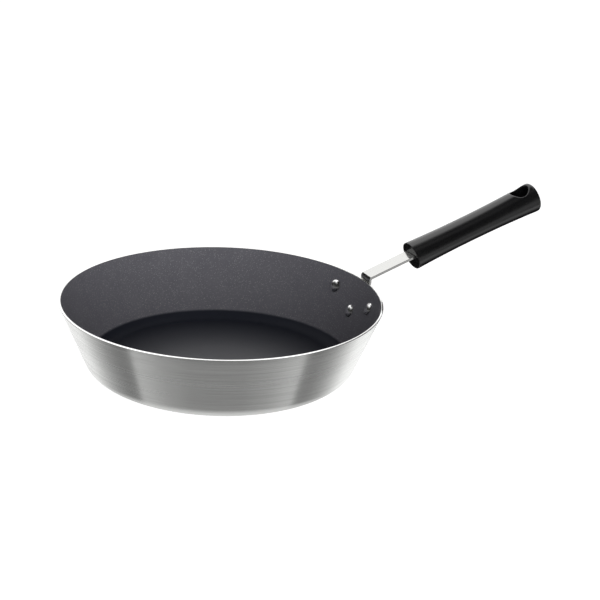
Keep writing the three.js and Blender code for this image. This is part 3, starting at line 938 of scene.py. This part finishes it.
def satin_steel(brushing):
    """Stainless strip with a fine lengthwise grain under a bright satin finish."""
    material, tree, shader = new_material("bracket_steel")
    lines = use_group(tree, brushing, {"Place": brush_place(tree), "Length": 30.0, "Pitch": 0.35})
    tint = mix_colours(tree, lines["Lines"], (0.62, 0.62, 0.605, 1), (0.77, 0.77, 0.75, 1))
    set_inputs(tree, shader, {
        "Base Color": tint,
        "Metallic": 1.0,
        "Roughness": remap(tree, lines["Bands"], 0.3, 0.7, 0.12, 0.2),
        "Normal": bumped(tree, lines["Lines"], 0.2, 0.00003),
    })
    return material


def polished_rivet(brushing):
    """Rivet head polished in place, with faint rings from the setting tool."""
    material, tree, shader = new_material("rivet_aluminium")
    lines = use_group(tree, brushing, {"Place": brush_place(tree), "Length": 9.0, "Pitch": 0.5})
    set_inputs(tree, shader, {
        "Base Color": mix_colours(tree, lines["Lines"], (0.78, 0.78, 0.77, 1), (0.92, 0.92, 0.91, 1)),
        "Metallic": 1.0,
        "Roughness": remap(tree, lines["Bands"], 0.3, 0.7, 0.10, 0.18),
        "Normal": bumped(tree, lines["Lines"], 0.12, 0.00003),
    })
    return material


def black_moulding(grain):
    """Black heat-proof moulding with a satin skin, a little uneven in gloss."""
    material, tree, shader = new_material("grip_phenolic")
    skin = use_group(tree, grain, {"Place": object_place(tree), "Size": 0.0007})
    black = mix_colours(tree, skin["Unevenness"], (0.0015, 0.0015, 0.0018, 1), (0.0025, 0.0025, 0.003, 1))
    set_inputs(tree, shader, {
        "Base Color": black,
        "Roughness": remap(tree, skin["Unevenness"], 0.3, 0.7, 0.2, 0.26),
        "IOR": 1.65,
        "Normal": bumped(tree, skin["Height"], 0.2, 0.00004),
    })
    return material


def zinc_screw(brushing):
    """Plain bright-plated screw, a little duller than the rivets."""
    material, tree, shader = new_material("screw_steel")
    lines = use_group(tree, brushing, {"Place": brush_place(tree), "Length": 4.0, "Pitch": 0.4})
    set_inputs(tree, shader, {
        "Base Color": mix_colours(tree, lines["Bands"], (0.55, 0.55, 0.54, 1), (0.72, 0.72, 0.70, 1)),
        "Metallic": 1.0,
        "Roughness": remap(tree, lines["Lines"], 0.3, 0.7, 0.24, 0.38),
        "Normal": bumped(tree, lines["Lines"], 0.1, 0.00003),
    })
    return material


# Stage

def turned_to_view(tree, vector):
    """Vector turned about +Z so that its y points away from the photograph's camera."""
    inputs = {"Vector": vector, "Rotation": (0, 0, -VIEW_AZIMUTH)}
    turned_vector = add_node(tree, "ShaderNodeMapping", inputs, vector_type="POINT").outputs[0]
    return add_node(tree, "ShaderNodeSeparateXYZ", {0: turned_vector}).outputs


def grey_ramp(tree, value, stops):
    """Grey level read off a ramp of (place from 0 to 1, level) stops."""
    ramp = add_node(tree, "ShaderNodeValToRGB", {0: value})
    elements = ramp.color_ramp.elements
    while len(elements) < len(stops):
        elements.new(0.5)
    for element, (place, level) in zip(elements, stops):
        element.position = place
        element.color = grey(level)
    return ramp.outputs[0]


def cards_below(tree, x, y, z):
    """Level of the studio's low reflector cards in a direction that points down.

    An upright brushed wall mirrors a direction where its own normal halves the angle between that direction
    and the camera. So the cards are laid out by the bearing of that halfway normal, from straight to the
    front round to the side: mid grey in front, lighter outwards, a sharp edge to dark, then white. Where the
    halfway normal points steeply down, as on the pan's rounded corner, the cards are white too.
    """
    aside = calculate(tree, "ABSOLUTE", calculate(tree, "ADD", x, LOW_CARDS_SHIFT))
    ahead = calculate(tree, "SUBTRACT", math.cos(VIEW_ELEVATION), y)
    bearing = calculate(tree, "ARCTAN2", aside, ahead)
    level = grey_ramp(tree, remap(tree, bearing, 0.0, math.pi / 2), [(b / 90, v) for b, v in LOW_CARDS])
    drop = calculate(tree, "SUBTRACT", -math.sin(VIEW_ELEVATION), z)
    slope = calculate(tree, "ARCTAN2", drop, length(tree, aside, ahead))
    return mix_colours(tree, remap(tree, slope, *UNDER_CARD_SLOPE), level, grey(UNDER_CARD_LEVEL))


def band(tree, value, limits):
    """One inside the middle two of four limits, falling smoothly to zero at the outer two."""
    rising = remap(tree, value, limits[0], limits[1], smooth=True)
    falling = remap(tree, value, limits[2], limits[3], 1.0, 0.0, smooth=True)
    return calculate(tree, "MULTIPLY", rising, falling)


def cards_above(tree, x, y, z):
    """Level of the studio above the horizon: a tall, wide softbox behind the pan, dark cards elsewhere."""
    height = remap(tree, z, 0.0, 1.0)
    behind = remap(tree, y, *SOFTBOX_BEHIND, smooth=True)
    softbox = calculate(tree, "MULTIPLY", band(tree, x, SOFTBOX_ACROSS), behind)
    front = grey_ramp(tree, height, FRONT_CARDS)
    return mix_colours(tree, softbox, front, grey_ramp(tree, height, BACK_CARDS))


def add_world():
    """White surroundings for the camera, cards for reflections, and soft low light from the front.

    A low dark flag stands at the back left, about the horizon. The low light reaches the inside wall and
    leaves the pan's floor to its reflections.
    """
    world = bpy.data.worlds.new("studio")
    bpy.context.scene.world = world
    world.use_nodes = True
    tree = world.node_tree
    tree.nodes.clear()
    direction = add_node(tree, "ShaderNodeTexCoord").outputs["Generated"]
    x, y, z = turned_to_view(tree, direction)
    below = remap(tree, z, HORIZON, -HORIZON, smooth=True)
    cards = mix_colours(tree, below, cards_above(tree, x, y, z), cards_below(tree, x, y, z))
    to_back = remap(tree, y, *FLAG_BEHIND, smooth=True)
    to_left = remap(tree, x, *FLAG_LEFT, smooth=True)
    back_left = calculate(tree, "MULTIPLY", to_left, to_back)
    flagged = calculate(tree, "MULTIPLY", band(tree, z, FLAG_HEIGHTS), back_left)
    reflected = mix_colours(tree, flagged, cards, grey(FLAG_LEVEL))
    frontal = calculate(tree, "SUBTRACT", calculate(tree, "MULTIPLY", x, LOW_LIGHT_LEAN), y)
    in_front = remap(tree, frontal, *LOW_LIGHT_FRONT, smooth=True)
    low_down = remap(tree, z, *LOW_LIGHT_TOP, 1.0, 0.0, smooth=True)
    share = calculate(tree, "MULTIPLY", in_front, low_down)
    lit = remap(tree, share, 0.0, 1.0, LIGHT_ELSEWHERE, LOW_LIGHT)
    path = add_node(tree, "ShaderNodeLightPath").outputs
    hidden = mix_colours(tree, path["Is Glossy Ray"], lit, reflected)
    shown = mix_colours(tree, path["Is Camera Ray"], hidden, grey(1))
    background = add_node(tree, "ShaderNodeBackground", {"Color": shown, "Strength": 1.0}).outputs[0]
    add_node(tree, "ShaderNodeOutputWorld", {"Surface": background})


def stage_plane(name, low, high, height):
    """Level rectangle of the stage between two corners, and its empty material tree."""
    mesh = bpy.data.meshes.new(name)
    corners = [(low[0], low[1], height), (high[0], low[1], height)]
    corners += [(high[0], high[1], height), (low[0], high[1], height)]
    mesh.from_pydata(corners, [], [(0, 1, 2, 3)])
    material = bpy.data.materials.new(name)
    material.use_nodes = True
    material.node_tree.nodes.clear()
    mesh.materials.append(material)
    plane = bpy.data.objects.new(name, mesh)
    bpy.context.scene.collection.objects.link(plane)
    return plane, material.node_tree


def add_floor():
    """White floor with a soft shadow. Reflections look past it to the studio's cards."""
    floor, tree = stage_plane("floor", *FLOOR)
    floor.visible_glossy = False
    path = add_node(tree, "ShaderNodeLightPath").outputs
    glow = add_node(tree, "ShaderNodeEmission", {"Color": grey(0.88)}).outputs[0]
    shaded = add_node(tree, "ShaderNodeBsdfDiffuse", {"Color": grey(0.45)}).outputs[0]
    plain = add_node(tree, "ShaderNodeBsdfDiffuse", {"Color": grey(0.8)}).outputs[0]
    shown = add_node(tree, "ShaderNodeAddShader", {0: glow, 1: shaded}).outputs[0]
    both = add_node(tree, "ShaderNodeMixShader", {0: path["Is Camera Ray"], 1: plain, 2: shown}).outputs[0]
    add_node(tree, "ShaderNodeOutputMaterial", {"Surface": both})


def add_card(name, low, high, height, levels):
    """Level card that shows only in reflections and fades from its front to its back brightness."""
    card, tree = stage_plane(name, low, high, height)
    for way in ("camera", "diffuse", "transmission", "volume_scatter", "shadow"):
        setattr(card, "visible_" + way, False)
    depth = add_node(tree, "ShaderNodeSeparateXYZ", {0: object_place(tree)}).outputs["Y"]
    level = remap(tree, depth, *CARD_FADE, *levels)
    glow = add_node(tree, "ShaderNodeEmission", {"Color": level}).outputs[0]
    add_node(tree, "ShaderNodeOutputMaterial", {"Surface": glow})


def add_camera():
    """Camera at the photograph's angle, back from a point over the base and turned to frame the pan."""
    back = np.array([math.sin(VIEW_AZIMUTH) * math.cos(VIEW_ELEVATION),
                     -math.cos(VIEW_AZIMUTH) * math.cos(VIEW_ELEVATION), math.sin(VIEW_ELEVATION)])
    place = VIEW_DISTANCE * back + np.array([0, 0, VIEW_AIM_HEIGHT])
    lens = bpy.data.cameras.new("camera")
    lens.lens = CAMERA_LENS
    lens.sensor_width = CAMERA_SENSOR
    lens.clip_end = 20.0
    camera = bpy.data.objects.new("camera", lens)
    heading = Matrix.Rotation(CAMERA_HEADING, 4, "Z")
    tilt = Matrix.Rotation(CAMERA_TILT, 4, "X")
    roll = Matrix.Rotation(CAMERA_ROLL, 4, "Z")
    camera.matrix_world = Matrix.Translation(place) @ heading @ tilt @ roll
    bpy.context.scene.collection.objects.link(camera)
    bpy.context.scene.camera = camera


# The frying pan

brushing = brushing_group()
grain = grain_group()
rivet_finish = polished_rivet(brushing)
add_piece("pan", pan_body_shape(), brushed_aluminium(brushing), "pan_body")
add_piece("lining", lining_shape(), speckled_coating(grain), "nonstick_coating")
add_piece("bracket", bracket_shape(), satin_steel(brushing), "handle_bracket")
for node_name, (rivet_angle, rivet_drop) in rivet_places().items():
    rivet = rivet_shape(rivet_angle, rivet_drop)
    add_piece(node_name + "_set", rivet, rivet_finish, node_name)
add_piece("grip", grip_shape(), black_moulding(grain), "handle_grip")
add_piece("screw", screw_shape(), zinc_screw(brushing), "grip_screw")

# The studio

add_camera()
add_world()
add_floor()
for card_name, card in LEVEL_CARDS.items():
    add_card(card_name, *card)
bpy.context.scene.view_settings.view_transform = "Standard"
